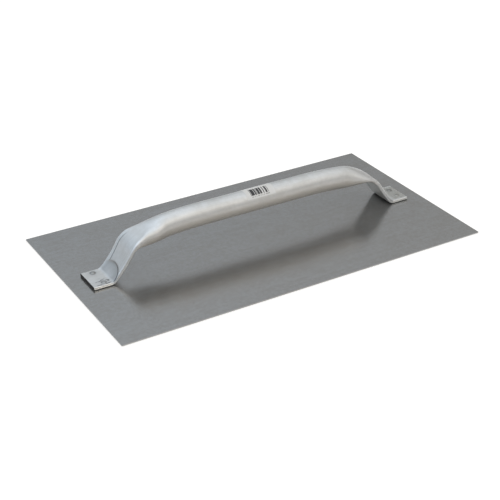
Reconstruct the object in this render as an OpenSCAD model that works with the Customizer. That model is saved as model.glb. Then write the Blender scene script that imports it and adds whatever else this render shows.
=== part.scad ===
// Large finishing trowel: a flat sheet-steel blade under a bent tube handle whose ends are pressed
// flat and riveted down. X runs along the handle, Y across the blade and Z up. The origin is the
// centre of the working face, which is the underside of the blade. Sizes are in millimetres.

/* [Blade] */
// Length of the blade, along the handle
blade_l = 500; // [480:5:600]
// Width of the blade
blade_w = 280; // [160:5:320]
// Thickness of the sheet
blade_t = 1.2; // [0.8:0.1:2]
// Length cut off each corner of the blade
corner_cut = 0.6; // [0.2:0.1:8]

/* [Handle tube] */
// Outer diameter of the tube at the grip
tube_d = 29; // [24:0.5:32]
// Wall thickness of the tube
tube_wall = 1.9; // [1.2:0.1:2.4]
// Length of the handle from one foot's end to the other's
handle_l = 456; // [400:2:470]
// Height of the top of the grip above the working face
grip_h = 67; // [60:0.5:85]
// Slope of the two risers
riser_angle = 55; // [45:1:68]
// Radius of the long bend at each end of the grip, on the tube's axis
shoulder_r = 520; // [350:10:600]
// Slope that the grip has reached at the end of that bend
shoulder_angle = 9.5; // [6:0.5:14]
// Radius of the bend between the grip and each riser, on the tube's axis
top_bend_r = 29; // [22:1:45]
// Radius of the bend between each riser and its foot, on the tube's axis
foot_bend_r = 8; // [6:0.5:12]

/* [Flattened ends] */
// Flat length of each foot
foot_l = 22; // [20:0.5:34]
// Width of each riser, between the outsides of its rims
riser_w = 38.6; // [34:0.2:44]
// Width of each foot
foot_w = 40.4; // [37:0.2:48]
// Gap that is left between the two flattened walls
slit = 0.2; // [0.1:0.05:0.5]
// Thickness of the rolled rims along both edges of each riser
rim_h = 5.6; // [5.4:0.1:8]
// Length of riser above the foot bend over which the rims are pressed flat
rim_fade_l = 15; // [6:1:18]
// Length over which the tube goes from round to flat
transition_l = 51; // [34:1:70]

/* [Rivets] */
// Diameter of the rivets' shanks
rivet_d = 4.2; // [3:0.2:5]
// Diameter of the heads on the feet
head_d = 6.4; // [5.2:0.1:8]
// Height of the heads on the feet
head_h = 0.8; // [0.4:0.1:1.5]
// Radial clearance between a rivet and its holes
rivet_fit = 0.05; // [0.02:0.01:0.15]
// Left foot, rear rivet: inset from the foot's end and offset towards the rear
left_rear_spot = [13, 13]; // [-15:0.5:18]
// Left foot, front rivet
left_front_spot = [15.5, -13]; // [-15:0.5:18]
// Right foot, rear rivet
right_rear_spot = [9, 8.5]; // [-15:0.5:18]
// Right foot, front rivet
right_front_spot = [9.5, -9]; // [-15:0.5:18]

/* [Paper label] */
// Length of the label along the grip
label_l = 40; // [20:1:50]
// Length of the label around the grip
label_wrap = 24; // [12:1:36]
// Thickness of the label and its glue
label_t = 0.15; // [0.1:0.05:0.4]
// Place of the label's middle along the grip
label_x = 5.5; // [-10:0.5:10]
// Turn of the label's middle from the top of the grip towards the front
label_turn = 12; // [-30:1:60]
// Least gap between the label and the tube under it
label_fit = 0.03; // [0.02:0.01:0.1]

/* [Hidden] */

LEFT = -1;
RIGHT = 1;

// Corners of the tube's outer section, and of its bore
outer_sides = 40;
bore_sides = outer_sides / 2;
// Share by which the corners crowd towards the section's two edges, where the rims are
crowding = 0.4;
// Sections along each length of half a handle
shoulder_steps = 4;
transition_steps = 16;
riser_steps = 6;
foot_bend_steps = 7;
// Corners of a full circle on the rivets and the label
round_sides = 64;
// Extra length by which a cut passes the face that it starts from
overcut = 1;

// Flattened thickness, and the height of the tube's axis on the feet and at the grip
strap_h = 2 * tube_wall + slit;
foot_axis_z = blade_t + strap_h / 2;
grip_axis_z = grip_h - tube_d / 2;
foot_top_z = blade_t + strap_h;

// Drop of the axis in each bend. The straight riser takes up the height that is left.
shoulder_drop = shoulder_r * (1 - cos(shoulder_angle));
top_bend_drop = top_bend_r * (cos(shoulder_angle) - cos(riser_angle));
foot_bend_drop = foot_bend_r * (1 - cos(riser_angle));
riser_drop = grip_axis_z - foot_axis_z - shoulder_drop - top_bend_drop - foot_bend_drop;
riser_l = riser_drop / sin(riser_angle);

// Where each stretch starts in X, counted in from the foot's end. The straight half of the grip
// takes up the length that is left.
foot_x = handle_l / 2 - foot_l;
foot_bend_x = foot_x - foot_bend_r * sin(riser_angle);
riser_x = foot_bend_x - riser_l * cos(riser_angle);
top_bend_x = riser_x - top_bend_r * (sin(riser_angle) - sin(shoulder_angle));
shoulder_x = top_bend_x - shoulder_r * sin(shoulder_angle);

// Heights of the axis where each stretch starts
top_bend_z = grip_axis_z - shoulder_drop;
riser_z = top_bend_z - top_bend_drop;
foot_bend_z = riser_z - riser_drop;

// Lengths along the axis from the middle of the grip to where each stretch starts
shoulder_s = shoulder_x;
top_bend_s = shoulder_s + arc_length(shoulder_r, shoulder_angle);
riser_s = top_bend_s + arc_length(top_bend_r, riser_angle - shoulder_angle);
foot_bend_s = riser_s + riser_l;
foot_s = foot_bend_s + arc_length(foot_bend_r, riser_angle);
end_s = foot_s + foot_l;
round_end_s = riser_s - transition_l;

function arc_length(radius, angle) = radius * angle * PI / 180;
function arc_angle(radius, length) = length / radius * 180 / PI;
function mix(a, b, share) = a + (b - a) * share;
function ease(share) = let (t = min(1, max(0, share))) t * t * (3 - 2 * t);

// The axis of half the handle at length s from the middle of the grip: [x, z, slope downwards]
function axis_at(s) =
    s <= shoulder_s ? [s, grip_axis_z, 0] :
    s <= top_bend_s ? on_shoulder(arc_angle(shoulder_r, s - shoulder_s)) :
    s <= riser_s ? on_top_bend(shoulder_angle + arc_angle(top_bend_r, s - top_bend_s)) :
    s <= foot_bend_s ? on_riser(s - riser_s) :
    s <= foot_s ? on_foot_bend(riser_angle - arc_angle(foot_bend_r, s - foot_bend_s)) :
    [foot_x + s - foot_s, foot_axis_z, 0];
function on_shoulder(slope) = [
    shoulder_x + shoulder_r * sin(slope),
    grip_axis_z - shoulder_r * (1 - cos(slope)),
    slope,
];
function on_top_bend(slope) = [
    top_bend_x + top_bend_r * (sin(slope) - sin(shoulder_angle)),
    top_bend_z - top_bend_r * (cos(shoulder_angle) - cos(slope)),
    slope,
];
function on_riser(length) = [
    riser_x + length * cos(riser_angle),
    riser_z - length * sin(riser_angle),
    riser_angle,
];
function on_foot_bend(slope) = [
    foot_bend_x + foot_bend_r * (sin(riser_angle) - sin(slope)),
    foot_bend_z - foot_bend_r * (cos(slope) - cos(riser_angle)),
    slope,
];

// The section at length s: how flat it is, and its width and its thickness at the middle and rims
function flatness(s) = ease((s - round_end_s) / transition_l);
function rim_left(s) = 1 - ease((s - (foot_bend_s - rim_fade_l)) / rim_fade_l);
function width_at(s) = mix(tube_d, mix(foot_w, riser_w, rim_left(s)), flatness(s));
function middle_at(s) = mix(tube_d, strap_h, flatness(s));
function rim_at(s) = mix(tube_d, mix(strap_h, rim_h, rim_left(s)), flatness(s));

// Share of the way round the section at which a corner lies, crowded towards the two edges
function share_round(i, sides) =
    let (even = i / sides) even + crowding * sin(720 * even) / (4 * PI);

// One corner [across, up] of a section with round edges, from the middle of its top and round
// by the rear: two flats that are sunk between the rims, joined by two half circles
function section_corner(share, width, middle, rim) =
    let (
        flat = width - rim,
        half_circle = PI * rim / 2,
        round = 2 * (flat + half_circle),
        length = share * round,
        mirrored = length > round / 2,
        run = mirrored ? round - length : length,
        corner = half_section(run, flat, rim, middle)
    )
    [mirrored ? -corner[0] : corner[0], corner[1]];
function half_section(run, flat, rim, middle) =
    run < flat / 2 ? [run, sunk(flat / 2 - run, rim, middle)] :
    run > flat / 2 + PI * rim / 2 ? half_bottom(flat + PI * rim / 2 - run, flat, rim, middle) :
    let (turn = arc_angle(rim / 2, run - flat / 2))
    [flat / 2 + rim / 2 * sin(turn), rim / 2 * cos(turn)];
function half_bottom(across, flat, rim, middle) = [across, -sunk(flat / 2 - across, rim, middle)];
// Half thickness at a distance inwards from a rim's centre
function sunk(inwards, rim, middle) =
    max(middle / 2, inwards < rim / 2 ? sqrt(rim * rim / 4 - inwards * inwards) : 0);

// The corners of one section of the tube, inset by a wall for its bore
function section(s, side, sides, inset) =
    let (axis = axis_at(s), width = width_at(s), middle = middle_at(s), rim = rim_at(s))
    [for (i = [0 : sides - 1])
        let (corner = section_corner(
            share_round(i, sides), width - 2 * inset, middle - 2 * inset, rim - 2 * inset))
        [
            side * (axis[0] + corner[1] * sin(axis[2])),
            corner[0],
            axis[1] + corner[1] * cos(axis[2]),
        ]
    ];

// Lengths along half the handle at which it has a section
function steps(from, to, count) = [for (i = [1 : count]) mix(from, to, i / count)];
half_stations = concat(
    [shoulder_s],
    steps(shoulder_s, round_end_s, shoulder_steps),
    steps(round_end_s, riser_s, transition_steps),
    steps(riser_s, foot_bend_s, riser_steps),
    steps(foot_bend_s, foot_s, foot_bend_steps),
    [end_s]
);
last = len(half_stations) - 1;
// Every station from the left foot's end to the right one's, as [length, side]
stations = concat(
    [for (i = [last : -1 : 0]) [half_stations[i], LEFT]],
    [for (i = [0 : last]) [half_stations[i], RIGHT]]
);

function skin_points(sides, inset) =
    [for (station = stations) each section(station[0], station[1], sides, inset)];

// Triangles between neighbouring sections whose corners start at a given index
function skin_faces(first, sides, inwards) =
    [for (k = [0 : len(stations) - 2], i = [0 : sides - 1])
        let (
            a = first + k * sides + i,
            b = first + k * sides + (i + 1) % sides,
            c = a + sides,
            d = b + sides
        )
        each inwards ? [[a, c, b], [b, c, d]] : [[a, b, c], [b, d, c]]
    ];

// Triangles of an end wall, from two corners of the outer section to each corner of the bore
function end_faces(outer, bore, flipped) =
    [for (i = [0 : bore_sides - 1])
        let (
            a = outer + 2 * i,
            b = a + 1,
            c = outer + (2 * i + 2) % outer_sides,
            d = bore + i,
            e = bore + (i + 1) % bore_sides
        )
        each flipped ? [[a, b, d], [b, c, e], [b, e, d]] : [[a, d, b], [b, e, c], [b, d, e]]
    ];

// A flat sheet with its corners cut
module blade() {
    x = blade_l / 2;
    y = blade_w / 2;
    color("slategray") difference() {
        linear_extrude(blade_t) polygon([
            [corner_cut - x, -y], [x - corner_cut, -y], [x, corner_cut - y], [x, y - corner_cut],
            [x - corner_cut, y], [corner_cut - x, y], [-x, y - corner_cut], [-x, corner_cut - y],
        ]);
        each_spot() rivet_hole();
    }
}

// One length of tube, pressed flat at both ends, bent four times and drilled
module handle_tube() {
    bore_first = len(stations) * outer_sides;
    far_outer = bore_first - outer_sides;
    far_bore = bore_first + (len(stations) - 1) * bore_sides;
    color("gainsboro") difference() {
        polyhedron(
            points = concat(skin_points(outer_sides, 0), skin_points(bore_sides, tube_wall)),
            faces = concat(
                skin_faces(0, outer_sides, false),
                skin_faces(bore_first, bore_sides, true),
                end_faces(0, bore_first, false),
                end_faces(far_outer, far_bore, true)
            ),
            convexity = 10
        );
        each_spot() rivet_hole();
    }
}

// Where each rivet stands on the blade
function spot_place(side, spot) = [side * (handle_l / 2 - spot[0]), spot[1], 0];
left_rear = spot_place(LEFT, left_rear_spot);
left_front = spot_place(LEFT, left_front_spot);
right_rear = spot_place(RIGHT, right_rear_spot);
right_front = spot_place(RIGHT, right_front_spot);

module each_spot() {
    for (place = [left_rear, left_front, right_rear, right_front]) translate(place) children();
}

// The shank, widened to a flush countersunk head that is as deep as the blade
module rivet_shank(grow, height) {
    bottom_r = rivet_d / 2 + blade_t + grow;
    top_r = rivet_d / 2 + grow;
    cylinder(h = blade_t, r1 = bottom_r, r2 = top_r, $fn = round_sides);
    cylinder(h = height, r = top_r, $fn = round_sides);
}

// A hole through a foot and the blade, open at both ends
module rivet_hole() {
    rivet_shank(rivet_fit, foot_top_z + overcut);
    translate([0, 0, -overcut])
        cylinder(h = overcut, r = rivet_d / 2 + blade_t + rivet_fit, $fn = round_sides);
}

// The shank with the low domed head that is set against the foot
module rivet() {
    dome_r = (head_d * head_d / 4 + head_h * head_h) / (2 * head_h);
    color("darkgray") {
        rivet_shank(0, foot_top_z);
        translate([0, 0, foot_top_z]) intersection() {
            translate([0, 0, head_h - dome_r]) sphere(r = dome_r, $fn = round_sides);
            cylinder(h = head_h, r = head_d / 2 + overcut, $fn = round_sides);
        }
    }
}

// A paper sticker that follows the round of the grip
module paper_label() {
    inner_r = tube_d / 2 + label_fit;
    wrap_angle = arc_angle(inner_r, label_wrap);
    color("white")
        translate([label_x - label_l / 2, 0, grip_axis_z])
        rotate([0, 90, 0])
        rotate([0, 0, 180 + label_turn - wrap_angle / 2])
        rotate_extrude(angle = wrap_angle, $fn = round_sides)
        translate([inner_r, 0])
        square([label_t, label_l]);
}

blade();
handle_tube();
translate(left_rear) rivet();  // rivet_left_rear
translate(left_front) rivet();  // rivet_left_front
translate(right_rear) rivet();  // rivet_right_rear
translate(right_front) rivet();  // rivet_right_front
paper_label();
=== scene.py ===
import math
import bmesh
import bpy
from mathutils import Matrix, Vector, noise


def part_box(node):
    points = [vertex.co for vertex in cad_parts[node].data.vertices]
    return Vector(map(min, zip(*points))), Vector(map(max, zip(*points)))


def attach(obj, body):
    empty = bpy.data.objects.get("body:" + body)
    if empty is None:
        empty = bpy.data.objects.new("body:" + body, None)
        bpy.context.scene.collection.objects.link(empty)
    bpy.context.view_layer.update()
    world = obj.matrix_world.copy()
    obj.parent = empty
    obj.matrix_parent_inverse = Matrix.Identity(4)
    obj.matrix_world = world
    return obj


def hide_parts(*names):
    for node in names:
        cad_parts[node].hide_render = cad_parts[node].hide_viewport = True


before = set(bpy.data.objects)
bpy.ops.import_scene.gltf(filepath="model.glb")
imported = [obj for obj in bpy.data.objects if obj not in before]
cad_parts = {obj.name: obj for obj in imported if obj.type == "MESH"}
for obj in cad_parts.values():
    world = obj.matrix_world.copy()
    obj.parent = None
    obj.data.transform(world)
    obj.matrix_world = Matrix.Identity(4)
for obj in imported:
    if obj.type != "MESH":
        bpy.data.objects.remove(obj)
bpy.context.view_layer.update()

mm = 0.001
oneSpot = 0.001 * mm              # points closer than this are one


def linear(hexColour):
    # sRGB hex to the linear colour that a shader takes
    parts = [int(hexColour[i:i + 2], 16) / 255 for i in (1, 3, 5)]
    return [p / 12.92 if p <= 0.04045 else ((p + 0.055) / 1.055) ** 2.4 for p in parts] + [1.0]


def add(tree, kind, *values, out=0, named=None, **settings):
    # one node: its settings, then its sockets in order or by name, each with a value, a link or None
    node = tree.nodes.new(kind)
    for key, value in settings.items():
        setattr(node, key, value)
    for key, value in [*enumerate(values), *(named or {}).items()]:
        if isinstance(value, bpy.types.NodeSocket):
            tree.links.new(value, node.inputs[key])
        elif value is not None:
            node.inputs[key].default_value = value
    return node.outputs if out is None else node.outputs[out]


# kinds of node that come up again and again, with their sockets in order
calc = "ShaderNodeMath"
ramp = "ShaderNodeMapRange"       # value, from, to, and what those two become
blend = "ShaderNodeMix"           # share, none, and the two that are mixed; 6 and 7 are two colours
cloudy = "ShaderNodeTexNoise"     # place, none, scale, detail, roughness
stretch = "ShaderNodeMapping"     # place, none, none, scale


def newMaterial(name):
    material = bpy.data.materials.new(name)
    material.use_nodes = True
    material.node_tree.nodes.clear()
    return material, material.node_tree


def finishMaterial(tree, settings, height, depth):
    # the surface shader, with a bump of that depth in mm
    bump = add(tree, "ShaderNodeBump", 1.0, depth * mm, None, height)
    surface = add(tree, "ShaderNodeBsdfPrincipled", named={**settings, "Normal": bump})
    add(tree, "ShaderNodeOutputMaterial", surface, out=None)


def perMetre(size):
    # a pattern's size in mm, one for all axes or one for each, as the scale of a Mapping node
    sizes = size if isinstance(size, tuple) else (size, size, size)
    return [1 / (length * mm) for length in sizes]


def newTree(name, sizes):
    # a geometry node tree with a named input for each size
    tree = bpy.data.node_groups.new(name, "GeometryNodeTree")
    tree.interface.new_socket("Geometry", in_out="OUTPUT", socket_type="NodeSocketGeometry")
    tree.interface.new_socket("Geometry", in_out="INPUT", socket_type="NodeSocketGeometry")
    kinds = {int: "Int", float: "Float", Vector: "Vector", bpy.types.Material: "Material"}
    for key, value in sizes.items():
        tree.interface.new_socket(key, in_out="INPUT", socket_type="NodeSocket" + kinds[type(value)])
    return tree, add(tree, "NodeGroupInput", out=None)


def runTree(piece, tree, sizes):
    # runs the tree on the piece and leaves it as a plain mesh
    modifier = piece.modifiers.new("build", "NODES")
    modifier.node_group = tree
    for item in tree.interface.items_tree:
        if item.in_out == "INPUT" and item.name in sizes:
            modifier[item.identifier] = sizes[item.name]
    graph = bpy.context.evaluated_depsgraph_get()
    made = bpy.data.meshes.new_from_object(
        piece.evaluated_get(graph), preserve_all_data_layers=True, depsgraph=graph)
    piece.modifiers.clear()
    if made.materials[0] is None:  # slot of the empty mesh that the tree started from
        made.materials.pop(index=0)
    piece.data = made


def newPiece(name, points=(), edges=(), faces=()):
    mesh = bpy.data.meshes.new(name)
    mesh.from_pydata(points, edges, faces)
    piece = bpy.data.objects.new(name, mesh)
    bpy.context.scene.collection.objects.link(piece)
    return piece


def inMetres(sizes):
    # lengths are floats in mm, and counts and seeds are whole numbers
    return {key: value * mm if isinstance(value, float) else value for key, value in sizes.items()}


def closeUp(piece, bm, sharp):
    # gives the piece its mesh: doubles merged, faces outwards, and edges sharp from that many degrees
    bmesh.ops.remove_doubles(bm, verts=bm.verts, dist=oneSpot)
    bmesh.ops.recalc_face_normals(bm, faces=bm.faces)
    bm.to_mesh(piece.data)
    bm.free()
    piece.data.set_sharp_from_angle(angle=math.radians(sharp))


# Blade: one flat sheet of cold-rolled steel

blade = {
    "steel": "#A6A7A7",
    "steelDull": "#9F9E9C",
    "metallic": 0.84,             # a thin film of oil and dust scatters the rest
    "roughness": (0.17, 0.23),
    "streak": (90.0, 2.4, 2.4),   # mm along X, which is the rolling direction, Y and Z
    "cloud": 26.0,                # mm
    "cloudShare": 0.4,            # of clouds among the streaks
    "mottle": 4.0,                # mm
    "mottleShare": 0.5,           # of mottle among both
    "contrast": (0.4, 0.6),       # where the pattern is all one tone, and all the other
    "sheen": (0.3, 0.7),          # where it is least rough, and most
    "line": (24.0, 1.1, 1.1),     # mm; rolling lines are finer than 0.1 mm and are drawn coarse to show
    "lineDepth": 0.0012,          # mm
    "wave": 120.0,                # mm, the sheet's slow waves
    "waveDepth": 0.05,            # mm
    "cornerCut": 0.6,             # mm
    "deburr": 0.06,               # mm
    "holeSides": 48,
}


def coldRolledSteel():
    # bare cold-rolled sheet: a dull grey half mirror with faint streaks along the rolling direction
    material, tree = newMaterial("coldRolledSteel")
    place = add(tree, "ShaderNodeTexCoord", out="Object")
    streaks = add(tree, cloudy, add(tree, stretch, place, None, None, perMetre(blade["streak"])),
                  None, 1.0, 3.0, 0.55)
    clouds = add(tree, cloudy, add(tree, stretch, place, None, None, perMetre(blade["cloud"])),
                 None, 1.0, 2.0, 0.5)
    mottle = add(tree, cloudy, add(tree, stretch, place, None, None, perMetre(blade["mottle"])),
                 None, 1.0, 2.0, 0.5)
    uneven = add(tree, blend, blade["cloudShare"], None, streaks, clouds)
    uneven = add(tree, blend, blade["mottleShare"], None, uneven, mottle)
    share = add(tree, ramp, uneven, *blade["contrast"], 0.0, 1.0)
    colour = add(tree, blend, share, named={6: linear(blade["steel"]), 7: linear(blade["steelDull"])},
                 data_type="RGBA", out=2)
    low, high = blade["roughness"]
    roughness = add(tree, ramp, uneven, *blade["sheen"], high, low)
    lines = add(tree, cloudy, add(tree, stretch, place, None, None, perMetre(blade["line"])),
                None, 1.0, 2.0, 0.6)
    waves = add(tree, cloudy, add(tree, stretch, place, None, None, perMetre(blade["wave"])),
                None, 1.0, 0.0)
    steeper = blade["waveDepth"] / blade["lineDepth"]
    height = add(tree, calc, waves, steeper, lines, operation="MULTIPLY_ADD")
    finishMaterial(tree, {"Base Color": colour, "Metallic": blade["metallic"], "Roughness": roughness},
                   height, blade["lineDepth"])
    return material


def ring(bm, centre, radius, height, sides):
    turns = [2 * math.pi * i / sides for i in range(sides)]
    return [bm.verts.new((centre.x + radius * math.cos(a), centre.y + radius * math.sin(a), height))
            for a in turns]


def wall(bm, lower, upper):
    # quads between two rings with as many corners
    for i in range(len(lower)):
        j = (i + 1) % len(lower)
        bm.faces.new((lower[i], lower[j], upper[j], upper[i]))


def fillFlat(bm, rings):
    # a flat face inside the first ring with the other rings as its holes
    edges = []
    for corners in rings:
        for i in range(len(corners)):
            pair = (corners[i], corners[(i + 1) % len(corners)])
            edges.append(bm.edges.get(pair) or bm.edges.new(pair))
    bmesh.ops.triangle_fill(bm, use_beauty=True, edges=edges)


def bladeOutline(bm, low, high, inset, height):
    cut = blade["cornerCut"] * mm
    x0, y0, x1, y1 = low.x + inset, low.y + inset, high.x - inset, high.y - inset
    corners = [(x0 + cut, y0), (x1 - cut, y0), (x1, y0 + cut), (x1, y1 - cut),
               (x1 - cut, y1), (x0 + cut, y1), (x0, y1 - cut), (x0, y0 + cut)]
    return [bm.verts.new((x, y, height)) for x, y in corners]


def makeBlade(rivetPlaces):
    low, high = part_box("blade")
    deburr = blade["deburr"] * mm
    bm = bmesh.new()
    profile = [(low.z, deburr), (low.z + deburr, 0.0), (high.z - deburr, 0.0), (high.z, deburr)]
    rims = [bladeOutline(bm, low, high, inset, height) for height, inset in profile]
    for lower, upper in zip(rims, rims[1:]):
        wall(bm, lower, upper)
    under = []
    over = []
    for centre in rivetPlaces.values():
        under.append(ring(bm, centre, rivets["sunkRadius"] * mm, low.z, blade["holeSides"]))
        over.append(ring(bm, centre, rivets["shankRadius"] * mm, high.z, blade["holeSides"]))
        wall(bm, over[-1], under[-1])
    fillFlat(bm, [rims[0], *under])
    fillFlat(bm, [rims[-1], *over])
    bmesh.ops.recalc_face_normals(bm, faces=bm.faces)
    piece = newPiece("blade_sheet")
    bm.to_mesh(piece.data)
    bm.free()
    piece.data.materials.append(coldRolledSteel())
    return piece


# Handle: one aluminium tube, pressed flat at both ends and bent four times

handle = {
    "aluminium": "#D8D9D9",
    "aluminiumDull": "#CDCDCB",
    "metallic": 0.76,             # a film of oxide scatters the rest
    # the sawn ends' colours are painted shade, nearly black where the end faces face away from the light
    "sawn": "#4A4744",
    "sawnDark": "#262423",
    "sawnRoughness": 0.7,
    "sawnShine": 0.2,
    "sawTooth": (0.8, 0.8, 6.0),  # mm along X, Y and Z
    "sawDepth": 0.05,             # mm
    # painted shade in the creases, beside the press mark, under the feet's edges, in the dents and round
    # the rivet heads, and a darker patch about two rivets
    "grime": "#343537",
    "roughness": (0.43, 0.53),
    "undersideShade": "#CBC6BE",         # underside: painted shade with a warm painted reflection of the blade
    "gripAlong": (140.0, 190.0),  # mm along the tube from its middle
    "gripBelow": (11.0, -6.0),    # mm above the middle of the tube before it was pressed
    "riserBelow": (-1.0, -6.0),
    "mottle": 4.5,                # mm
    "mottleShare": 0.5,           # of mottle among the drawn lines
    "contrast": (0.4, 0.6),       # where the pattern is all one tone, and all the other
    "sheen": (0.3, 0.7),          # where it is least rough, and most
    "worn": "#EDECE8",            # edges of the flat parts, polished by use, with a painted highlight in this lighter colour
    "wornRoughness": 0.24,
    # right foot darker: painted shade, broken up by scuff spots
    "scuffAndShade": "#A6A49D",
    "scuffRoughness": 0.62,
    "scuffFrom": (222.0, 232.0),  # mm along the tube from its middle, on the right foot only
    "scuffAbove": (3.0, 8.0),     # mm above the middle of the tube before it was pressed
    "scuffSpot": 2.4,             # mm
    "scuffContrast": (0.3, 0.6),
    "scuffLeast": 0.45,           # share of the scuff between its spots
    "drawnLine": (50.0, 1.3, 1.3),  # mm; drawing marks are finer than 0.2 mm and are drawn coarse to show
    "lineDepth": 0.004,           # mm
    "cloud": 22.0,                # mm
    "cloudShare": 0.5,            # of clouds among lines and mottle
    "shoulderRadius": 520.0,      # mm, bends are measured on the tube's axis
    "shoulderAngle": 9.5,         # degrees
    "left": {                     # the risers were bent by eye, so that they differ a little
        "topRadius": 22.0,        # mm, as the other radii and lengths
        "topAngle": 57.5,         # degrees
        "bowRadius": 150.0,
        "footAngle": 46.0,        # degrees
        "bowShare": 0.38,         # share of the riser's height that is under the bow
        "footRadius": 9.0,
        "footLength": 21.6,
        "pressing": 62.0,         # length over which the top goes from flat to round
        "under": 46.0,            # and the underside
        "swell": 5.0,             # how much wider the oval is halfway
        "ovalGone": (0.15, 0.6),  # how flat it is where it starts to be no oval, and where it is none
        "worn": 1.0,              # share of the riser over which the wear and painted highlight of the foot's edges fade
    },
    "right": {
        "topRadius": 28.0,
        "topAngle": 55.5,
        "bowRadius": 150.0,
        "footAngle": 54.0,
        "bowShare": 0.38,
        "footRadius": 9.0,
        "footLength": 21.5,
        "pressing": 52.0,
        "under": 54.0,
        "swell": 5.0,
        "ovalGone": (0.7, 1.0),
        "worn": 0.2,
    },
    "slit": 0.2,                  # mm left open between the pressed walls
    "slitDepth": 5.0,             # mm that it is followed into each end
    "sawnEdge": 0.25,             # mm taken off the edges of the sawn ends
    "sharp": 35.0,                # degrees, the least that makes an edge
    "tube": {
        "gripDiameter": 29.0,     # mm, as the rest, except the counts
        "riserWidth": 39.0,
        "riserTopWidth": 41.0,
        "strap": 4.0,             # both walls pressed together
        "rimSwell": 1.0,          # that much thicker at the riser's edges
        "rimFade": 15.0,
        "tongueHalf": 19.0,       # half width of the arched press mark on each riser
        "tongueRise": 15.4,       # how far it reaches up the riser
        "tongueDepth": 0.25,
        "tongueEdge": 1.5,
        "tongueSink": 1.0,        # deeper towards its top
        "smearReach": 22.0,       # how far painted shade spreads inside the mark
        "smearOut": 3.0,          # and outside it
        "creaseIn": 6.0,          # from the middle of the rim's round to the crease beside it
        "creaseHalf": 1.0,        # half width of the creases
        "creaseDepth": 0.45,
        "seamDepth": 0.35,        # fold line along the outer edges
        "stations": 500,
        "sides": 193,
        "bendPoints": 48,
        "leastFlat": 0.01,        # keeps a division from zero where the tube is round
    },
    "shares": {                   # of the tube: shares, a power and angles in radians
        "tongueRear": 0.35,       # painted shade in the press mark's edge at the rear, to that at the front
        "tongueSmear": 0.36,      # painted shade spread beside that edge, to that in it
        "creaseTaper": 0.65,      # creaseIn at the top of the riser, to that at its foot
        "creaseFront": 0.1,       # depth of the front creases, to that of the rear ones
        "edgePower": 3.2,         # of the curve round the pressed edges: 2 is a circle, more is squarer
        "seamHalf": 0.25,         # radians of the edge's round
        "footSquare": 0.15,       # how much squarer the feet's edges are below than above
        "gripShare": 0.16,        # share of the stations on the round part
        "crowding": 0.3,          # how much closer the points are round the edges
        "rimFrom": 0.5,           # how flat the tube is where its rims start
        "edgeFrom": 0.6,          # where its edges start to be squarer
        "seamFrom": 0.8,          # where its fold lines start
        "creaseFrom": 0.85,       # and where its creases start
        "rimBlend": 0.3,          # share of the rims' height over which they run into the flat
        "frontAt": -0.1,          # share of a turn from the top to where the front is reached
        "rearAt": 0.1,            # and the rear
        "rearAll": 0.2,           # and to where it is all rear
        "grimeFrom": 0.6 * math.pi,  # angle round the foot's edge where painted shade from below starts
        "grimeTo": 0.8 * math.pi,
        "wornFrom": 0.4,          # how far a face stands out sideways where its wear and painted highlight start
        "wornTo": 0.9,
    },
    "marks": {
        # how hard the hammer has missed each rivet, how much painted shade rings its head, and how much
        # darker the foot is about it
        "rivet_left_rear": (0.2, 0.55, 0.12),
        "rivet_left_front": (2.3, 0.4, 0.13),
        "rivet_right_rear": (0.2, 0.45, 0.0),
        "rivet_right_front": (0.1, 0.1, 0.0),
        "reach": 8.0,             # mm from the head's middle
        "size": (4.0, 2.0),       # mm along and across the foot
        "depth": 0.6,             # mm
        "greaseGain": 3.6,        # painted shade for a dent of that depth
        "greaseMost": 0.75,
        "least": 0.08,            # noise below which there is no dent
        "onTop": 0.3,             # mm from the foot's top that still counts as top
    },
}


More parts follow.
